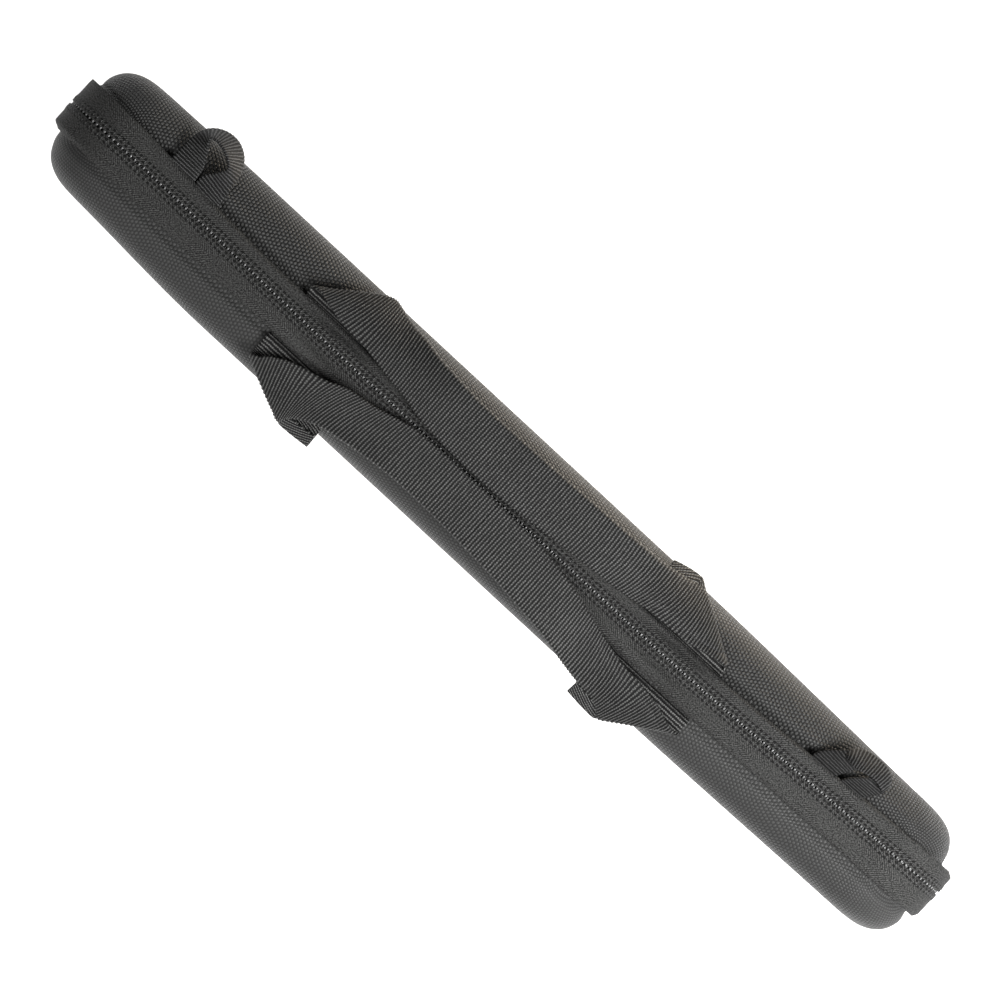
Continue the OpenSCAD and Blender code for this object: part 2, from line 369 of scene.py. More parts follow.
def tape_weave(name, dark, light):
    """Fine herringbone of a zip tape, with two rows of stitch holes beside the coil, painted near-black as
    the shade inside them.
    """
    n = Nodes(name)
    vector, u, v = n.uv()
    off = n.math("ABSOLUTE", v)
    slant = n.math("ABSOLUTE", n.minus(off, 8.6))
    wobble = n.times(n.noise(vector, 0.5, 2), 0.8)
    lines = n.ramp(n.wave(n.plus(n.plus(u, slant), wobble), 1.4), 0.15, 0.85)
    clear = n.ramp(n.noise(vector, 0.05, 2), 0.38, 0.58, 0.25, 1.0)
    lines = n.line(n.minus(lines, 0.5), clear, 0.5)
    cross = n.wave(n.minus(u, n.times(slant, 0.8)), 0.62)
    weave = n.line(cross, 0.25, n.times(lines, 0.75))
    hole_u = n.ramp(n.wave(u, TOOTH_PITCH), 0.30, 0.60)
    rows = [n.ramp(n.math("ABSOLUTE", n.minus(off, row)), 0.62, 0.34) for row in STITCH_ROWS]
    holes = n.times(n.times(n.math("MAXIMUM", *rows), hole_u), 0.9)
    grain = n.noise(vector, 1.3, 3, 0.65)
    colour = n.mix(weave, dark, light)
    colour = n.scale_colour(colour, n.line(n.ramp(grain, 0.3, 0.7), 1.9, 0.1))
    # Painted shade: the stitch holes are coloured near-black.
    colour = n.mix(holes, colour, grey(0.004))
    height = n.minus(n.times(weave, 0.5), n.times(holes, 1.6))
    normal = n.bump(height, 0.00030, 0.9)
    return n.finish(colour, 0.72, normal, sheen=0.03, sheen_rough=0.4, specular=0.2)


def webbing(name, pitch, thread, dark, light, root=False):
    """Webbing with ribs along U, broken by the threads across V, its crests painted lighter and its gaps
    darker as painted highlight and shade; root=True paints shade where it starts.
    """
    n = Nodes(name)
    vector, u, v = n.uv()
    # root=True: painted shade over the first millimetres, where the webbing dives into the seam.
    depth = n.ramp(u, 1.0, 8.0, 0.2, 1.0) if root else 1.0
    wobble = n.times(n.minus(n.noise(vector, 0.6, 3), 0.5), 0.85)
    u = n.plus(u, wobble)
    rib = n.wave(u, pitch)
    number = n.math("FLOOR", n.math("DIVIDE", n.plus(u, pitch / 2), pitch))
    odd = n.times(number, thread / 2)
    warp = n.ramp(n.wave(n.plus(v, odd), thread), 0.15, 0.75)
    ridge = n.ramp(rib, 0.42, 0.92)
    crest = n.times(ridge, n.line(warp, 0.62, 0.38))
    grain = n.noise(vector, 2.6, 2)
    patch = n.noise(vector, 0.06, 2)
    # Painted highlight on the crests and painted shade in the gaps between the ribs.
    colour = n.mix(crest, dark, light)
    patch = n.line(patch, 0.5, 0.75)
    shade = n.times(n.line(grain, 0.5, 0.75), patch)
    colour = n.scale_colour(colour, n.times(shade, depth))
    rough = n.line(crest, -0.25, 0.70)
    normal = n.bump(n.line(crest, 0.6, n.times(rib, 0.4)), 0.0004, 0.9)
    return n.finish(colour, rough, normal, sheen=0.02, sheen_rough=0.3, specular=0.32)


def brushed_lining():
    """Fuzzy knit of the linings."""
    n = Nodes("lining_fabric")
    vector, u, v = n.uv()
    fuzz = n.noise(vector, 1.4, 4, 0.7)
    knit = n.times(n.wave(u, 1.1), n.wave(v, 1.6))
    colour = n.mix(n.line(knit, 0.3, fuzz), (0.010, 0.010, 0.011), (0.042, 0.043, 0.046))
    normal = n.bump(n.plus(fuzz, knit), 0.0003, 0.6)
    return n.finish(colour, 0.95, normal, sheen=0.35, sheen_rough=0.5, specular=0.15)


def foam():
    """Closed-cell foam: fine pits in a soft dark block."""
    n = Nodes("rack_foam")
    cells = n.new("TexVoronoi")
    n.fill(cells, {"Vector": n.place(), "Scale": 900})
    pits = n.ramp(cells.outputs["Distance"], 0.1, 0.7)
    patch = n.noise(n.place(), 60, 3)
    colour = n.mix(pits, (0.050, 0.051, 0.054), (0.024, 0.0245, 0.026))
    colour = n.scale_colour(colour, n.line(patch, 0.6, 0.7))
    return n.finish(colour, 0.92, n.bump(pits, 0.0005, 0.5), sheen=0.2, specular=0.2)


def nylon(name, colour, light, roughness):
    """Shiny thread or moulded nylon, faintly streaked."""
    n = Nodes(name)
    streaks = n.noise(n.place(), 800, 2)
    tint = n.mix(streaks, colour, light)
    return n.finish(tint, roughness, n.bump(streaks, 0.00005, 0.4), specular=0.6)


def dark_metal():
    """Zinc casting with a dark plating, rubbed lighter in places."""
    n = Nodes("slider_metal")
    rub = n.ramp(n.noise(n.place(), 420, 4, 0.65), 0.45, 0.75)
    colour = n.mix(rub, (0.030, 0.030, 0.032), (0.10, 0.10, 0.105))
    rough = n.line(rub, -0.15, 0.42)
    return n.finish(colour, rough, n.bump(n.noise(n.place(), 900, 2), 0.00004, 0.4), metallic=0.85)


def pocket_mesh():
    """Open knit: round holes in staggered rows show what lies behind."""
    n = Nodes("pocket_mesh")
    vector, u, v = n.uv()
    across = n.math("COSINE", n.times(u, 2 * math.pi / 3.4))
    along = n.math("COSINE", n.times(v, 2 * math.pi / 3.0))
    hole = n.ramp(n.line(n.times(across, along), 0.5, 0.5), 0.60, 0.72)
    yarn = n.noise(vector, 3.0, 2)
    colour = n.mix(yarn, (0.014, 0.014, 0.015), (0.050, 0.051, 0.053))
    n.link(n.minus(1.0, hole), n.shader.inputs["Alpha"])
    normal = n.bump(n.minus(yarn, hole), 0.0004, 0.7)
    return n.finish(colour, 0.7, normal, sheen=0.2, specular=0.4)


looks = {
    # One shell fabric in two copies: the lid's lighter dots on a darker ground are painted glints, and the
    # base's flatter, lighter colours are painted light.
    "shell_lid": shell_fabric("lid_fabric_painted_glints", (0.012, 0.012, 0.0118), (0.074, 0.074, 0.072), 0.00042),
    "shell_base": shell_fabric("base_fabric_painted_light", (0.026, 0.026, 0.0255), (0.057, 0.057, 0.0555), 0.0002),
    "tape": tape_weave("zip_tape_weave", (0.016, 0.016, 0.0155), (0.066, 0.066, 0.064)),
    "thread": nylon("stitch_thread", grey(0.045), grey(0.110), 0.6),
    # The coil's nylon is a lighter grey than the rest of the zip, as painted glints on the coil's heads.
    "coil": nylon("coil_nylon_painted_glints", (0.12, 0.12, 0.121), grey(0.36), 0.2),
    # The filler cord is painted near-black: painted shade in the gap between the coil turns.
    "filler": nylon("shade_black_filler_cord", grey(0.003), grey(0.008), 0.7),
    "webbing": webbing("strap_webbing", RIB, 1.15, grey(0.005), (0.132, 0.132, 0.128)),
    # Copy of the strap webbing for the sewn ends: near-black gaps and brighter crests as painted shade and
    # highlight, and painted shade at the root.
    "webbing_end_painted_shade": webbing("strap_end_webbing_painted_shade", RIB, 1.15, grey(0.0005), (0.170, 0.170, 0.165), root=True),
    "loop": webbing("loop_webbing", LOOP_RIB, 0.9, grey(0.0005), grey(0.095)),
    # Darker copy of the loop webbing: painted shade on the front loop's legs under the crown.
    "shaded_loop_leg": webbing("loop_leg_webbing", LOOP_RIB, 0.9, grey(0.0004), grey(0.050)),
    "binding": webbing("binding_tape", 1.1, 0.9, grey(0.008), (0.036, 0.036, 0.038)),
    "elastic": webbing("elastic_band", 1.4, 1.2, (0.010, 0.010, 0.011), (0.052, 0.053, 0.056)),
    "hinge": webbing("hinge_weave", 0.9, 0.9, (0.012, 0.012, 0.013), (0.056, 0.057, 0.060)),
    "lining": brushed_lining(),
    "foam": foam(),
    "metal": dark_metal(),
    "mesh": pocket_mesh(),
}


def dress(obj, look, body=None, replaces=()):
    """Gives a piece its material, its body and the CAD nodes that it stands for."""
    obj.data.materials.clear()
    obj.data.materials.append(looks[look])
    if body:
        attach(obj, body)
    if replaces:
        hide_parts(*replaces)
    return obj


# ---- the outline of the case in the X-Z plane ----


def outline_stations():
    """Points and outward normals of the shells' outline, clockwise from the middle of the underside."""
    points, normals = [], []

    def edge(a, b, normal, count):
        for t in np.arange(count) / count:
            points.append((a[0] + (b[0] - a[0]) * t, a[1] + (b[1] - a[1]) * t))
            normals.append(normal)

    def corner(cx, cz, start, count):
        for t in np.arange(count) / count:
            angle = math.radians(start - 90 * t)
            points.append((cx + CORNER * math.cos(angle), cz + CORNER * math.sin(angle)))
            normals.append((math.cos(angle), math.sin(angle)))

    high, low = CENTRE_Z + CORNER_Z, CENTRE_Z - CORNER_Z
    edge((0, BOTTOM), (-CORNER_X, BOTTOM), (0, -1), 50)
    corner(-CORNER_X, low, 270, 14)
    edge((-HALF_X, low), (-HALF_X, high), (-1, 0), 14)
    corner(-CORNER_X, high, 180, 14)
    edge((-CORNER_X, TOP), (CORNER_X, TOP), (0, 1), 124)
    corner(CORNER_X, high, 90, 14)
    edge((HALF_X, high), (HALF_X, low), (1, 0), 14)
    corner(CORNER_X, low, 0, 14)
    edge((CORNER_X, BOTTOM), (0, BOTTOM), (0, -1), 50)
    return np.array(points), np.array(normals)


ring, ring_normal = outline_stations()
on_top = np.clip(ring_normal[:, 1], 0, 1)  # 1 along the zip's long side, 0 at the ends and below


def zip_shift(x):
    """How far the zip's line wanders towards the lid."""
    return 2.0 * smooth(-100, -250, x) + 6.0 * smooth(90, 310, x) - 1.4


def tape_reach(side, x):
    """Distance from the parting plane to the tape's outer edge."""
    if side == LID:
        return 9.0 + 6.8 * smooth(-145, -285, x) + 6.9 * smooth(120, 290, x)
    return 14.8 - 1.5 * smooth(-180, -285, x) - 2.7 * smooth(90, 300, x)


def handle_dip(x):
    """1 where the tape sinks because a handle's end comes out beside it, else 0."""
    return bell(np.abs(x), 110, 21)


def run_length(points):
    """Distance along a row of points, starting from 0."""
    return np.concatenate([[0], np.cumsum(np.linalg.norm(np.diff(points, axis=0), axis=1))])


def ring_shape(profile, crown, side, taper=None):
    """Rings of points: a profile of (outward distance, depth) swept round the outline, then over the face."""
    points, uvs = [], []
    arcs = run_length(profile)
    last = profile[-1]
    total = arcs[-1]
    for k, (out, depth) in enumerate(profile):
        extra = 0.0 if taper is None else taper(k)
        x = ring[:, 0] + ring_normal[:, 0] * (out + extra)
        z = ring[:, 1] + ring_normal[:, 1] * (out + extra)
        points.append(np.stack([x, np.full(len(ring), side * depth), z], 1))
        reach = last[0] + total - arcs[k]
        uvs.append(ring + ring_normal * reach)
    spine = np.stack([np.clip(ring[:, 0], -(CORNER_X - CORNER_Z), CORNER_X - CORNER_Z),
                      np.full(len(ring), CENTRE_Z)], 1)
    edge = ring + ring_normal * last[0]
    for t in (0.12, 0.3, 0.52, 0.76):
        flat = edge + (spine - edge) * t
        depth = last[1] + crown * (1 - (1 - t) ** 2)
        points.append(np.stack([flat[:, 0], np.full(len(ring), side * depth), flat[:, 1]], 1))
        uvs.append(flat)
    return np.array(points), np.array(uvs), spine, last[1] + crown


def swept_shell(profile, crown, side, taper=None):
    """An open bowl: the swept profile and its broad face, closed along the middle line."""
    points, uvs, spine, depth = ring_shape(profile, crown, side, taper)
    levels, count = points.shape[:2]
    cloud = points.reshape(-1, 3)
    uv = uvs.reshape(-1, 2)
    faces = grid_faces(levels, count, close_columns=True, flip=side == BASE)
    keys, middle, middle_points, middle_uvs = {}, [], [], []
    for x in spine[:, 0]:
        key = round(float(x), 3)
        if key not in keys:
            keys[key] = len(cloud) + len(middle_points)
            middle_points.append((x, side * depth, CENTRE_Z))
            middle_uvs.append((x, CENTRE_Z))
        middle.append(keys[key])
    start = (levels - 1) * count
    for j in range(count):
        a, b = start + j, start + (j + 1) % count
        c, d = middle[(j + 1) % count], middle[j]
        face = (a, b, c, d) if c != d else (a, b, c)
        faces.append(face[::-1] if side == BASE else face)
    return np.concatenate([cloud, middle_points]), faces, np.concatenate([uv, middle_uvs])


def arc_profile(out, depth, radius, rim, steps=10):
    """Side wall from the rim, then the round edge up to the broad face."""
    wall = [(out, rim + (depth - radius - rim) * t) for t in (0.0, 0.35, 0.7)]
    arc = [(out - radius + radius * math.cos(a), depth - radius + radius * math.sin(a))
           for a in np.linspace(0, math.pi / 2, steps)]
    return np.array(wall + arc)


def closed_bowl(name, outer, inner, crown, side, taper=None):
    """Joins an outer and an inner bowl at their rims into one closed piece."""
    p1, f1, u1 = swept_shell(outer, crown, side, taper)
    p2, f2, u2 = swept_shell(inner, crown, side)
    count = len(ring)
    faces = list(f1) + [tuple(len(p1) + i for i in f[::-1]) for f in f2]
    for j in range(count):
        k = (j + 1) % count
        face = (k, j, len(p1) + j, len(p1) + k)
        faces.append(face[::-1] if side == BASE else face)
    points = np.concatenate([p1, p2])
    share = smooth(10, DEPTH - 3, np.abs(points[:, 1]))
    points[:, 1] *= 1 - end_drop(side, points[:, 0]) * share / DEPTH
    points[:, 0] -= end_lean(side, points)
    return new_object(name, points, faces, np.concatenate([u1, u2]))


# ---- shells ----


def end_drop(side, x):
    """How much shallower a shell gets towards its ends."""
    if side == LID:
        return 0.7 * smooth(190, 270, -x) + 2.5 * smooth(90, 280, x) - 0.1
    return 4.0 * smooth(165, 275, -x) + 2.2 * smooth(110, 280, x) - 0.9


def end_lean(side, points):
    """How far the deeper part of an end face leans inwards."""
    x, deep = points[:, 0], np.abs(points[:, 1])
    if side == LID:
        return (3.2 * smooth(9, 20, deep) - 1.0 * smooth(24, 34, deep)) * smooth(200, 285, x)
    rear = -1.8 * smooth(10, 24, deep) * smooth(200, 285, -x)
    return rear - 0.9 * smooth(11, 20, deep) * smooth(220, 285, x)


def shell_profile():
    """Outer surface: the raised rim under the tape, a ledge, then the side wall and the round edge."""
    points = [(0.0, 0.45), (0.3, 2.2), (0.6, 3.6), (2.4, 4.6), (2.7, 6.0), (2.7, 8.0)]
    straight = DEPTH - EDGE_DEPTH
    points += [(0.0, y) for y in np.linspace(9.0, straight, 6)]
    power = 2 / ROUNDNESS
    for angle in np.radians(np.concatenate([np.linspace(4, 40, 20), np.linspace(45, 86, 10), [90]])):
        reach = (math.cos(angle) ** power if angle < 1.57 else 0.0, math.sin(angle) ** power)
        points.append((EDGE * (reach[0] - 1), straight + EDGE_DEPTH * reach[1]))
    return np.array(points)


def make_shell(side):
    """Moulded half: the tape sits on its ledge, with a groove and a low lip beyond the tape's edge."""
    name = NAMES[side]
    profile = shell_profile()
    xs = ring[:, 0]
    reach = tape_reach(side, xs)
    middle = on_top * smooth(262, 205, np.abs(xs)) if side == LID else on_top * 0.25

    def taper(k):
        """Outward change of the profile's ring k at every station."""
        y = profile[k][1]
        sunk = 3.6 * handle_dip(xs) * on_top * smooth(3.8, 5.8, y)
        if y < 8.5:
            return -sunk
        ledge = 2.5 * (1 - smooth(reach - 2.2, reach - 0.4, y))
        groove = -(0.7 + 1.9 * middle) * bell(y, reach + 1.3, 1.2 + 0.9 * middle)
        lip = (0.35 + 0.9 * middle) * bell(y, reach + 6.0, 3.0)
        sunk = np.where(y < reach - 0.4, sunk, 0.0)
        return ledge - sunk + (groove + lip) * (0.1 + 0.9 * on_top)

    inner = arc_profile(-WALL, DEPTH - WALL, EDGE - WALL, 0.45)
    obj = closed_bowl(f"{name}_moulded_shell", profile, inner, 0.3, side, taper)
    return dress(obj, f"shell_{name}", name, [f"{name}_shell"])


def make_lining(side):
    """Lining a hair away from the shell's inner surface."""
    name = NAMES[side]
    outer = arc_profile(-WALL - 0.1, DEPTH - WALL - 0.1, EDGE - WALL, 0.7)
    inner = arc_profile(-WALL - LINING, DEPTH - WALL - LINING, EDGE - WALL - LINING, 0.7)
    obj = closed_bowl(f"{name}_soft_lining", outer, inner, 0.3, side)
    return dress(obj, "lining", name, [f"{name}_lining"])


# ---- bands that follow the outline ----


def band_path(keep, step):
    """Stations of the outline where keep is true, in order, resampled to even steps."""
    order = np.arange(len(ring))
    order = order[keep(ring[:, 0], ring[:, 1])]
    breaks = np.nonzero(np.diff(order) > 1)[0]
    if len(breaks):
        order = np.concatenate([order[breaks[0] + 1:], order[: breaks[0] + 1]])
    points, normals = ring[order], ring_normal[order]
    length = run_length(points)
    even = np.linspace(0, length[-1], max(3, int(length[-1] / step)))
    points, normals = (
        np.stack([np.interp(even, length, values[:, c]) for c in (0, 1)], 1) for values in (points, normals))
    return points, normals / np.linalg.norm(normals, axis=1, keepdims=True), even


def band_points(points, normals, outs, ys):
    """Grid of 3-D points: one row a station, from outward distances and depths a column."""
    rows = []
    for (px, pz), (nx, nz), out, y in zip(points, normals, outs, ys):
        rows.append(np.stack([px + nx * out, y, pz + nz * out], 1))
    return np.array(rows)


ZIP_POINTS, ZIP_NORMALS, ZIP_LENGTH = band_path(lambda x, z: z > ZIP_END + 0.5, 1.35)


def end_rise(x):
    """How much further out the zip stands over the case's ends."""
    return 1.1 * smooth(262, 284, np.abs(x))


def tape_out(side, x, off, share):
    """Height of the tape over the side wall: a low bead over the coil, then flat, curling at its edge."""
    bead = 0.3 * (1 - smooth(3.8, 5.6, off))
    dip = -0.4 * (1 - smooth(0.3, 1.5, off)) * smooth(282, 258, abs(x))
    dip -= 3.5 * handle_dip(x) * smooth(4.2, 8.6, off)
    if side == LID:
        curl = 1.6 - 1.4 * smooth(200, 265, -x) - 1.0 * smooth(215, 262, x) + 2.2 * smooth(270, 285, x)
    else:
        curl = 1.5 + 2.2 * smooth(250, 285, -x)
    return 3.75 + bead + dip + end_rise(x) - curl * smooth(0.76, 1.0, share) ** 2


def make_tape(side):
    """Half of the zip tape, from the gap over the coil out to its loose edge."""
    columns = np.concatenate([[0.0, 0.012, 0.03, 0.06], np.linspace(0.1, 1.0, 17)])
    xs = ZIP_POINTS[:, 0]
    inner = zip_shift(xs) * side + ZIP_GAP
    reach = tape_reach(side, xs)
    ripple = 0.16 * np.sin(ZIP_LENGTH / 9.0 + side) * np.sin(ZIP_LENGTH / 23.0)
    ys, outs, uvs = [], [], []
    for k in range(len(xs)):
        y = inner[k] + (reach[k] - inner[k]) * columns
        off = y - zip_shift(xs[k]) * side
        wrinkle = ripple[k] * smooth(0.5, 0.9, columns)
        ys.append(side * y)
        outs.append(tape_out(side, xs[k], off, columns) + wrinkle)
        uvs.append(np.stack([np.full(len(columns), ZIP_LENGTH[k]), off * side], 1))
    grid = band_points(ZIP_POINTS, ZIP_NORMALS, outs, ys)
    obj = thick_sheet(f"zip_tape_{NAMES[side]}_weave", grid, np.array(uvs), 0.75, flip=side == BASE)
    return dress(obj, "tape", NAMES[side], [f"zip_tape_{NAMES[side]}"])


def zip_places(pitch, shift, start, end, out, off, side):
    """Places along the zip for small parts: along, across and outward axes at each."""
    places = []
    count = int((end - start) / pitch)
    for i in range(count):
        s = start + (i + shift) * pitch
        px, pz, nx, nz = (np.interp(s, ZIP_LENGTH, a) for a in (
            ZIP_POINTS[:, 0], ZIP_POINTS[:, 1], ZIP_NORMALS[:, 0], ZIP_NORMALS[:, 1]))
        norm = math.hypot(nx, nz)
        nx, nz = nx / norm, nz / norm
        y = zip_shift(px) + off * side
        out_here = out + end_rise(px)
        origin = (px + nx * out_here, y, pz + nz * out_here)
        places.append((origin, (nz, 0, -nx), (0, side, 0), (nx, 0, nz)))
    return places


def make_coil(side):
    """Coil turns: each shows as a rounded head in the gap between the tapes, over a filler cord painted
    near-black as the shade in that gap.
    """
    name = NAMES[side]
    points, faces = pill(2.6, 1.0, 1.0, 10)
    points = points[:, [1, 0, 2]]
    shift, height = (0.25, 3.1) if side == LID else (0.75, 1.9)
    places = zip_places(TOOTH_PITCH, shift, 4, ZIP_LENGTH[-1] - 4, height, 0.55, side)
    obj = many(f"zip_coil_{name}_turns", (points, [f[::-1] for f in faces]), places)
    dress(obj, "coil", name, [f"zip_coil_{name}"])
    across = np.array([-0.12, 0.2, 0.9, 1.7, 2.5, 3.0])
    swell = np.array([0.0, 0.3, 0.55, 0.6, 0.4, 0.0])
    ys = [zip_shift(x) + side * across for x in ZIP_POINTS[:, 0]]
    outs = [1.55 + swell + 2.2 * end_rise(x) for x in ZIP_POINTS[:, 0]]
    grid = band_points(ZIP_POINTS, ZIP_NORMALS, outs, ys)
    uvs = np.array([[(s, a) for a in across] for s in ZIP_LENGTH])
    filler = thick_sheet(f"zip_filler_{name}_cord", grid, uvs, 0.5, flip=side == BASE)
    return dress(filler, "filler", name)


def make_stitches(side):
    """Rungs of the stitching that holds the coil to its tape."""
    rung = pill(1.4, 0.45, 0.36, 6)
    rung = (rung[0][:, [1, 0, 2]], [f[::-1] for f in rung[1]])
    places = zip_places(TOOTH_PITCH, 0.5, 2, ZIP_LENGTH[-1] - 2, 4.38, 2.95, side)
    obj = many(f"zip_stitches_{NAMES[side]}", rung, places)
    return dress(obj, "thread", NAMES[side])


def make_binding(side):
    """Binding tape over the raw edge inside the rim."""
    name = NAMES[side]
    outs = -WALL - LINING - np.array([0.2, 1.0, 1.2, 1.2, 1.0, 0.2])
    depths = np.array([0.8, 0.9, 1.8, 5.4, 6.3, 6.5])
    grid = band_points(ring, ring_normal, [outs] * len(ring), [side * depths] * len(ring))
    uvs = np.array([[(s, d) for d in depths] for s in run_length(ring)])
    obj = thick_sheet(f"{name}_edge_binding", grid, uvs, 0.5, close_rows=True, flip=side == BASE)
    return dress(obj, "binding", name, [f"{name}_rim_binding"])


def make_hinge():
    """The fabric hinge: one strip on the underside, between the base and the lid."""
    half = node_box("hinge_strip_base")[1][0] - 1.0
    xs = np.linspace(-half, half, 240)
    ys = np.concatenate([np.linspace(-14.0, -2.0, 10), np.linspace(-1.5, 1.5, 7), np.linspace(2.0, 11.4, 9)])
    sag = 0.55 - 0.25 * bell(ys, 0, 1.6) + 0.5 * smooth(11.6, 14.2, -ys) + 0.5 * smooth(9.4, 11.6, ys)
    grid = np.array([[(x, y, z) for y, z in zip(ys, sag)] for x in xs])
    grid[..., 2] += 0.05 * np.sin(grid[..., 0] / 11.0)
    uvs = grid[..., :2].copy()
    obj = thick_sheet("hinge_strip_fabric", grid[::-1], uvs[::-1], 0.8)
    dress(obj, "hinge")
    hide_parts("hinge_strip_base", "hinge_strip_lid")
    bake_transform(obj)
    return obj


for side in (LID, BASE):
    make_shell(side)
    make_lining(side)
    make_tape(side)
    make_coil(side)
    make_stitches(side)
    make_binding(side)
make_hinge()

# ---- handles ----

# The strap's upper layer: (inner edge x, y, outer edge x, y) at each station, from the rear crease to the
# front one, with y measured away from the zip. Ribs of the webbing run from the inner to the outer edge.
HANDLE_KEYS = {
    LID: [
        (-133.7, 15.3, -132.2, 16.5), (-129.4, 14.4, -126.5, 20.8), (-125.5, 13.3, -120.7, 25.3),
        (-120.7, 12.1, -115.4, 29.3), (-115.9, 11.1, -110.6, 32.9), (-110.6, 10.3, -106.3, 35.5),
        (-104.9, 10.0, -102.7, 36.4), (-98.6, 9.7, -99.6, 35.9), (-91.0, 8.7, -93.8, 34.3),
        (-82.8, 7.2, -86.2, 32.8), (-75.6, 6.1, -78.5, 32.2), (-67.4, 5.0, -69.4, 30.4),
        (-56.0, 2.6, -57.0, 29.0), (-38.0, 0.8, -38.0, 27.7), (-13.0, 0.4, -13.0, 27.8),
        (11.0, 1.7, 11.0, 28.3), (36.0, 3.9, 36.0, 29.1), (55.0, 5.6, 55.0, 29.6),
        (69.8, 6.9, 71.3, 30.6), (75.6, 7.7, 78.0, 31.2), (82.3, 8.8, 85.2, 32.4),
        (88.6, 9.8, 91.4, 33.4), (94.8, 10.1, 96.7, 34.3), (101.0, 10.3, 100.6, 35.1),
        (106.3, 10.6, 103.9, 34.1), (111.6, 11.1, 108.2, 31.7), (116.4, 12.1, 113.0, 28.7),
        (120.7, 13.1, 117.8, 25.5), (124.8, 14.0, 122.6, 22.2), (128.4, 14.8, 127.0, 19.3),
        (131.3, 15.0, 130.6, 17.4), (133.0, 14.5, 132.7, 15.7),
    ],
    BASE: [
        (-136.3, 29.8, -135.6, 30.7), (-132.2, 28.1, -130.8, 33.4), (-128.6, 24.6, -125.0, 36.3),
        (-125.0, 22.4, -119.8, 38.8), (-120.7, 20.1, -115.0, 41.0), (-115.9, 18.4, -110.6, 42.9),
        (-110.6, 16.9, -106.6, 44.8), (-104.9, 15.6, -104.6, 43.5), (-99.1, 13.9, -103.0, 40.6),
        (-93.4, 11.4, -100.1, 38.0), (-88.1, 9.9, -95.3, 35.1), (-82.8, 9.0, -90.0, 32.9),
        (-77.5, 8.2, -83.8, 31.5), (-71.8, 7.0, -76.6, 30.2), (-66.0, 5.4, -68.9, 29.0),
        (-55.0, 2.8, -56.0, 27.4), (-42.5, 1.8, -42.5, 26.4), (-20.0, 1.5, -20.0, 26.5),
        (2.0, 1.6, 2.0, 27.6), (24.0, 2.3, 24.0, 29.0), (42.0, 4.6, 42.5, 31.1),
        (57.0, 7.6, 58.0, 32.9), (69.8, 11.2, 71.8, 35.9), (76.1, 12.9, 79.0, 37.3),
        (81.8, 14.5, 85.7, 38.4), (87.6, 16.0, 91.9, 38.9), (93.4, 17.3, 96.7, 39.6),
        (99.6, 18.1, 100.6, 41.1), (105.8, 18.5, 103.7, 43.6), (112.1, 19.2, 106.3, 45.1),
        (116.4, 19.8, 110.6, 42.4), (120.2, 20.5, 115.0, 39.3), (123.6, 21.5, 119.3, 36.3),
        (127.0, 22.9, 123.6, 33.7), (130.3, 24.1, 127.9, 30.5), (133.7, 24.9, 132.2, 27.8),
        (136.6, 25.2, 136.3, 26.0),
    ],
}


def drape(y, seam):
    """Height of webbing that leaves the seam and falls over the shell's shoulder."""
    return SEAM_Z + 0.5 - SHOULDER * np.maximum(0, y - seam + 2) ** 2


def rib_lift(distance, pitch, height):
    """Real relief of the webbing's ribs."""
    return height * np.cos(2 * np.pi * distance / pitch)


def handle_strap(side):
    """The strap from crease to crease, folded in half along its length."""
    seam = SEAM_Y[side]
    rough = catmull(np.array(HANDLE_KEYS[side]), 900)
    middle = (rough[:, :2] + rough[:, 2:]) / 2
    run = run_length(middle)
    even = np.arange(0, run[-1], RIB / 5)
    edge = np.stack([np.interp(even, run, rough[:, c]) for c in range(4)], 1)
    x_in, y_in, x_out, y_out = edge.T
    end = smooth(46, 96, np.abs((x_in + x_out) / 2))
    z_top = TAPE_TOP + 4.6
    if side == LID:
        bow = 1.5 * bell(x_in, 80, 40) + 0.5 * bell(x_in, -90, 30)
    else:
        bow = -1.0 * bell(x_in, -80, 25) + 1.2 * bell(x_in, 100, 30)
    turn = [0.975, 0.99, 1.0, 0.99, 0.975]
    across = np.concatenate([np.linspace(0, 0.955, 20), turn, np.linspace(0.955, 0, 8)])
    layer = np.concatenate([np.zeros(20), [0.12, 0.28, 0.5, 0.72, 0.88], np.ones(8)])
    upper, under = layer < 0.5, layer == 1
    rows, uvs, lifts = [], [], []
    for k in range(len(even)):
        tucked = smooth(64, 100, abs(x_in[k]))
        share = np.where(under, across * (1 - tucked) + (0.975 - 0.03 * (1 - across)) * tucked, across)
        x = x_in[k] + (x_out[k] - x_in[k]) * share + bow[k] * np.sin(np.pi * share)
        y = y_in[k] + (y_out[k] - y_in[k]) * share
        flat = z_top + 0.45 * np.sin(np.pi * np.clip(share, 0, 1))
        fall = drape(y, seam) + 3.4 + 1.2 * np.sin(np.pi * share) * end[k] + 2.6 * (1 - share) ** 3
        crease = 0.45 * bell(share * (y_out[k] - y_in[k]), 3.2, 0.7) * smooth(10, 40, x_in[k]) * upper
        z = flat * (1 - end[k]) + fall * end[k] - LAYER_GAP * layer - crease
        rows.append(np.stack([x, side * y, z], 1))
        v = HALF_STRAP * np.where(upper, share, 2 - share)
        uvs.append(np.stack([np.full(len(v), even[k]), v], 1))
        lifts.append(np.full(len(v), rib_lift(even[k], RIB, 0.26)))
    return np.array(rows), np.array(uvs), np.array(lifts)


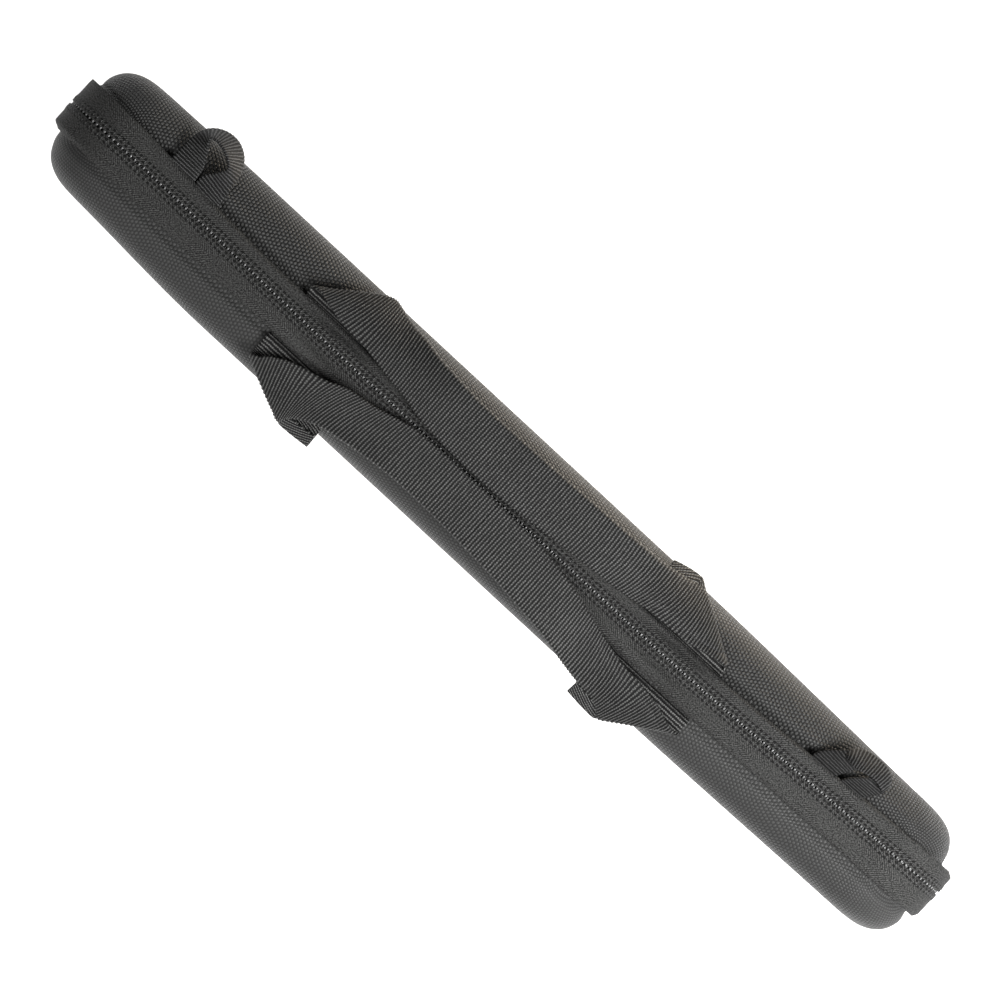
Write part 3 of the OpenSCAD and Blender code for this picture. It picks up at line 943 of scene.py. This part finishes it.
def split_strap(side):
    """The strap in two halves, split where it crosses the middle."""
    name = NAMES[side]
    grid, uvs, lifts = handle_strap(side)
    centre = int(np.argmin(np.abs(grid[:, -1 if side == LID else 0, 0])))
    halves = {"rear": slice(0, centre + 1), "front": slice(centre, len(grid))}
    for place, part in halves.items():
        obj = thick_sheet(f"{name}_handle_{place}_half", grid[part], uvs[part], STRAP, lifts[part],
                          flip=side == LID)
        dress(obj, "webbing")
        if place == "rear":
            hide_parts(f"{name}_handle_grip")
        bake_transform(obj)


# The sewn ends: x of the selvedges near the case's middle and far from it, the fold's distance from the
# parting plane at the near selvedge and at its tip, the tip's x, and that distance at the far selvedge.
STUBS = {
    (LID, "rear"): (-88.0, -136.8, 31.5, 35.6, -103.5, 14.2),
    (LID, "front"): (81.0, 134.2, 35.2, 38.2, 97.0, 14.0),
    (BASE, "rear"): (-87.0, -136.8, 43.6, 44.8, -104.5, 29.8),
    (BASE, "front"): (86.2, 138.2, 44.6, 45.8, 104.0, 24.6),
}


def handle_end(side, place):
    """Webbing from the seam out to its fold, where it turns back under the strap's upper layer."""
    near, far, reach_near, reach_tip, tip, reach_far = STUBS[side, place]
    seam = SEAM_Y[side]
    sign = 1 if near > 0 else -1
    root = tape_reach(side, np.array(near)) - 1.2
    xs = np.linspace(near, far, 56)
    rows, uvs, lifts = [], [], []
    for x in xs:
        if abs(x) < abs(tip):
            t = (abs(x) - abs(near)) / (abs(tip) - abs(near))
            reach = reach_near + (reach_tip - reach_near) * math.sin(t * math.pi / 2)
        else:
            t = (abs(x) - abs(tip)) / (abs(far) - abs(tip))
            reach = reach_tip + (reach_far - reach_tip) * t - 0.9 * math.sin(math.pi * t)
        y = np.linspace(root, reach - 0.9, 100)
        z = drape(y, seam) - 0.2 - 5.2 * bell(y, root, 3.0)
        fold = np.linspace(0, math.pi, 7)[1:]
        slope = -2 * SHOULDER * max(0.0, reach - seam + 1)
        normal = np.array([-slope, 1.0]) / math.hypot(slope, 1)
        tangent = np.array([1.0, slope]) / math.hypot(slope, 1)
        centre = np.array([y[-1], z[-1]]) + normal * FOLD_RADIUS
        turn = np.array([centre + FOLD_RADIUS * (tangent * math.sin(a) - normal * math.cos(a)) for a in fold])
        room = 0.04 + 0.96 * smooth(abs(far) - 1, abs(far) - 18, abs(x))
        back = np.array([turn[-1] - tangent * d * room for d in (2.0, 5.0, 8.0)])
        y = np.concatenate([y, turn[:, 0], back[:, 0]])
        z = np.concatenate([z, turn[:, 1], back[:, 1]])
        run = run_length(np.stack([y, z], 1))
        slant = 0.35 * smooth(24, 40, y) * (abs(x) - abs(near))
        rows.append(np.stack([np.full(len(y), x), side * y, z], 1))
        uvs.append(np.stack([run + slant, np.full(len(y), x)], 1))
        lifts.append(rib_lift(run + slant, RIB, 0.28) * (1 - 0.8 * smooth(reach - 9, reach - 3, y)))
    grid, uvs, lifts = np.array(rows), np.array(uvs), np.array(lifts)
    if sign * side < 0:
        grid, uvs, lifts = grid[::-1], uvs[::-1], lifts[::-1]
    name = NAMES[side]
    obj = thick_sheet(f"{name}_handle_{place}_end", grid, uvs, STRAP, lifts)
    return dress(obj, "webbing_end_painted_shade", f"{name}_handle_ends", [f"{name}_handle_ends"])


for side in (LID, BASE):
    split_strap(side)
    for place in ("rear", "front"):
        handle_end(side, place)

# ---- strap loops ----

# Each loop's middle x and its ribbons. A ribbon is rows of (inner x, y, z, outer x, y, z) along its two
# edges, with x from the loop's middle and z from the seam. The rear loop is one ribbon from foot to foot;
# the front one is two legs and a crown.
LOOP_KEYS = {
    "rear_strap_loop": (-212.0, [
        [
            (-0.3, 10.6, -0.9, -16.0, 10.6, -0.9), (-0.5, 15.5, 0.6, -16.0, 15.5, 0.4),
            (-1.4, 20.5, 1.0, -16.0, 21.0, 0.2), (-4.6, 26.6, 2.2, -15.9, 27.0, -1.2),
            (-7.3, 31.0, 4.4, -14.9, 32.6, -4.4), (-7.3, 33.2, 6.6, -11.6, 37.6, -6.8),
            (-4.6, 33.9, 7.4, -5.6, 40.8, -7.6), (-0.6, 33.4, 7.4, 1.6, 40.9, -7.6),
            (3.2, 31.9, 6.4, 8.0, 37.4, -6.8), (6.6, 29.6, 4.6, 12.0, 32.0, -4.8),
            (7.4, 26.8, 3.2, 14.0, 26.6, -1.8), (4.4, 22.2, 1.6, 15.4, 20.4, 0.0),
            (0.9, 17.6, 1.1, 16.0, 15.0, 0.5), (0.3, 10.4, -0.9, 16.3, 10.0, -0.9),
        ],
    ]),
    "front_strap_loop": (211.0, [
        [
            (-4.0, 11.0, -0.9, -18.6, 11.0, -0.9), (-2.8, 14.0, 0.8, -18.0, 14.0, 0.8),
            (-0.8, 17.5, 2.0, -15.8, 18.0, 1.6), (1.0, 21.0, 2.6, -11.0, 22.5, 1.8),
            (1.5, 25.0, 2.2, -6.0, 27.0, 0.8),
        ],
        [
            (12.2, 11.0, -0.9, -0.4, 11.0, -0.9), (13.2, 14.2, 0.8, 0.4, 14.0, 0.8),
            (16.6, 18.4, 1.6, 3.4, 18.0, 2.2), (18.6, 22.0, 1.8, 7.6, 21.6, 2.6),
            (17.8, 26.0, 0.8, 10.0, 25.0, 2.2),
        ],
        [
            (-5.8, 22.4, 2.6, -7.0, 24.0, 1.2), (-3.8, 22.2, 4.8, -5.6, 27.6, 0.9),
            (-1.2, 21.6, 6.2, -3.0, 30.0, 0.2), (1.8, 21.8, 6.9, 1.0, 31.6, -0.4),
            (5.0, 22.8, 7.2, 5.4, 32.3, -0.6), (9.4, 23.6, 7.2, 10.4, 32.3, -0.6),
            (13.2, 23.2, 6.6, 14.8, 31.2, -0.4), (16.2, 22.4, 5.2, 17.8, 28.6, 0.4),
            (18.0, 21.6, 3.0, 19.0, 25.0, 1.2),
        ],
    ]),
}


def strap_loop(name, middle_x, ribbons):
    """Webbing loop, with one object for each of its ribbons."""
    for part, rows in enumerate(ribbons):
        keys = np.array(rows) + [middle_x, 0, SEAM_Z, middle_x, 0, SEAM_Z]
        rough = catmull(keys, 500)
        centre = (rough[:, :3] + rough[:, 3:]) / 2
        run = run_length(centre)
        even = np.linspace(0, run[-1], int(run[-1] / 0.36))
        edges = np.stack([np.interp(even, run, rough[:, c]) for c in range(6)], 1)
        across = np.linspace(0, 1, 15)
        inner, outer = edges[:, None, :3], edges[:, None, 3:]
        grid = inner + (outer - inner) * across[None, :, None]
        grid[..., 2] += LOOP_BULGE[part] * np.sin(np.pi * across)
        uvs = np.stack(np.broadcast_arrays(even[:, None], across[None, :] * LOOP_WIDTH), 2)
        lifts = np.broadcast_to(rib_lift(even, LOOP_RIB, 0.12)[:, None], grid.shape[:2])
        obj = thick_sheet(f"{name}_webbing_{part}", grid, uvs, 1.2, lifts)
        # The front loop's legs take the darker copy, painted shade under the crown.
        look = "loop" if len(ribbons) == 1 or part == 2 else "shaded_loop_leg"
        dress(obj, look, name, [name] if part == 0 else ())


for name, (middle_x, ribbons) in LOOP_KEYS.items():
    strap_loop(name, middle_x, ribbons)

# ---- inside ----


def make_rack(name):
    """The CAD's slotted foam block with softened edges."""
    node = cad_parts[name]
    obj = in_scene(bpy.data.objects.new(f"{name}_foam", node.data.copy()))
    bevel = obj.modifiers.new("Bevel", "BEVEL")
    bevel.width = 1.2 * MM
    bevel.segments = 3
    bevel.limit_method = "ANGLE"
    graph = bpy.context.evaluated_depsgraph_get()
    mesh = bpy.data.meshes.new_from_object(obj.evaluated_get(graph))
    obj.modifiers.clear()
    obj.data = mesh
    mesh.polygons.foreach_set("use_smooth", [True] * len(mesh.polygons))
    mesh.set_sharp_from_angle(angle=math.radians(40))
    dress(obj, "foam", "base", [name])
    return obj


def make_band(name):
    """Elastic band, bowed a little off the rods."""
    low, high = node_box(name)
    zs = np.linspace(low[2] + 0.3, high[2] - 0.3, 120)
    xs = np.linspace(low[0], high[0], 13)
    t = (zs - zs[0]) / (zs[-1] - zs[0])
    y = high[1] - 0.8 + 1.1 * np.sin(np.pi * t) ** 0.8
    grid = np.array([[(x, yy + 0.12 * math.sin(z * 1.1), z) for x in xs] for z, yy in zip(zs, y)])
    uvs = np.array([[(z, x) for x in xs] for z in zs])
    obj = thick_sheet(f"{name}_elastic", grid, uvs, 1.1)
    return dress(obj, "elastic", "base", [name])


def upright_sheet(name, xs, zs, ys, thickness):
    """A sheet over the X-Z plane, with a row of depths for each height."""
    grid = np.array([np.stack([xs, y, np.full(len(xs), z)], 1) for z, y in zip(zs, ys)])
    return thick_sheet(name, grid, grid[..., [0, 2]], thickness)


def make_pocket():
    """Mesh panel on the lid's lining, slack between its sewn edges, and its elastic hem."""
    low, high = node_box("mesh_pocket")
    bind_low, bind_high = node_box("pocket_binding")
    xs = np.linspace(low[0], high[0], 161)
    on_lining = DEPTH - WALL - LINING - 0.6 - 0.9 * end_drop(LID, xs)
    sew = smooth(0, 14, xs - low[0]) * smooth(0, 14, high[0] - xs)
    wide_folds, narrow_folds = 0.5 * np.sin(xs / 6.5), 0.3 * np.sin(xs / 2.9 + 1)

    zs = np.linspace(low[2], high[2], 33)
    ys = []
    for t in (zs - low[2]) / (high[2] - low[2]):
        belly = 3.2 * math.sin(math.pi * min(1.0, 0.15 + t * 0.85)) ** 1.2
        ys.append(on_lining - (belly + wide_folds * t**2 + narrow_folds * t) * sew)
    panel = upright_sheet("mesh_pocket_panel", xs, zs, ys, 0.5)
    dress(panel, "mesh", "lid", ["mesh_pocket"])

    zs = np.linspace(bind_low[2] - 0.5, bind_high[2], 9)
    puffs = 0.5 * np.sin(np.pi * np.arange(9) / 8)
    ys = [on_lining - 0.6 - (wide_folds + narrow_folds) * sew - puff for puff in puffs]
    hem = upright_sheet("mesh_pocket_hem", xs, zs, ys, 1.3)
    dress(hem, "binding", "lid", ["pocket_binding"])


for name in ("rear_rod_rack", "front_rod_rack"):
    make_rack(name)
for name in ("rear_rod_band", "front_rod_band"):
    make_band(name)
make_pocket()

# ---- slider, pull and stops: the CAD's own shapes with a better surface ----

for name in ("slider_body", "slider_pull", "zip_stops"):
    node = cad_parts[name]
    # The stops take the coil's nylon, whose lighter grey is painted glints.
    look = "coil" if name == "zip_stops" else "metal"
    for slot in node.material_slots:
        slot.material = looks[look]

# ---- stage ----


def make_stage():
    """Pale floor well below the case, so that the lid can open past the hinge side."""
    n = Nodes("pale_floor")
    tint = n.mix(n.noise(n.place(), 3.0, 2), grey(0.93), grey(0.95))
    n.shader.inputs["Emission Color"].default_value = (1, 1, 1, 1)
    n.shader.inputs["Emission Strength"].default_value = 0.7
    material = n.finish(tint, 0.9, specular=0.1)
    bpy.ops.mesh.primitive_plane_add(size=40, location=(0, 0, -0.225))
    floor = bpy.context.object
    floor.name = "floor"
    floor.data.materials.append(material)
    world = bpy.data.worlds.new("studio")
    bpy.context.scene.world = world
    world.use_nodes = True
    world.node_tree.nodes["Background"].inputs[0].default_value = (1, 1, 1, 1)
    world.node_tree.nodes["Background"].inputs[1].default_value = 0.11


def area_light(name, place, target, size, power, colour=(1, 1, 1)):
    """Soft light of a size in metres, pointed at a target."""
    data = bpy.data.lights.new(name, "AREA")
    data.shape = "RECTANGLE"
    data.size, data.size_y = size
    data.energy = power
    data.color = colour
    obj = in_scene(bpy.data.objects.new(name, data))
    obj.location = place
    obj.visible_camera = False
    direction = Vector(target) - Vector(place)
    obj.rotation_mode = "QUATERNION"
    obj.rotation_quaternion = direction.to_track_quat("-Z", "Y")


def make_camera():
    """Looks down on the zip, with the case running from the upper left to the lower right."""
    data = bpy.data.cameras.new("camera")
    camera = in_scene(bpy.data.objects.new("camera", data))
    bpy.context.scene.camera = camera
    distance = 1.50
    view_width = 0.480
    roll = math.radians(42.82)
    target = Vector((-0.0007, 0.0001, 0.136))
    right = Vector((math.cos(roll), math.sin(roll), 0.0))
    up = Vector((-math.sin(roll), math.cos(roll), 0.0))
    back = Vector((0.0, 0.0, 1.0))
    turn = Matrix((right, up, back)).transposed().to_4x4()
    camera.matrix_world = Matrix.Translation(target + back * distance) @ turn
    data.sensor_width = 36
    data.lens = 36 * distance / view_width
    data.clip_start, data.clip_end = 0.05, 60


make_stage()
area_light("key_light", (0.75, 0.0, 0.85), (0.15, 0, 0.1), (0.45, 0.45), 15)
area_light("top_light", (-0.3, -0.9, 1.5), (-0.1, 0, 0.1), (1.4, 1.0), 11)
area_light("rim_light", (0.06, 0.33, 0.03), (0.05, 0, 0.10), (0.25, 0.1), 1.15, (1.0, 0.86, 0.68))
make_camera()
bpy.context.scene.view_settings.view_transform = "Standard"
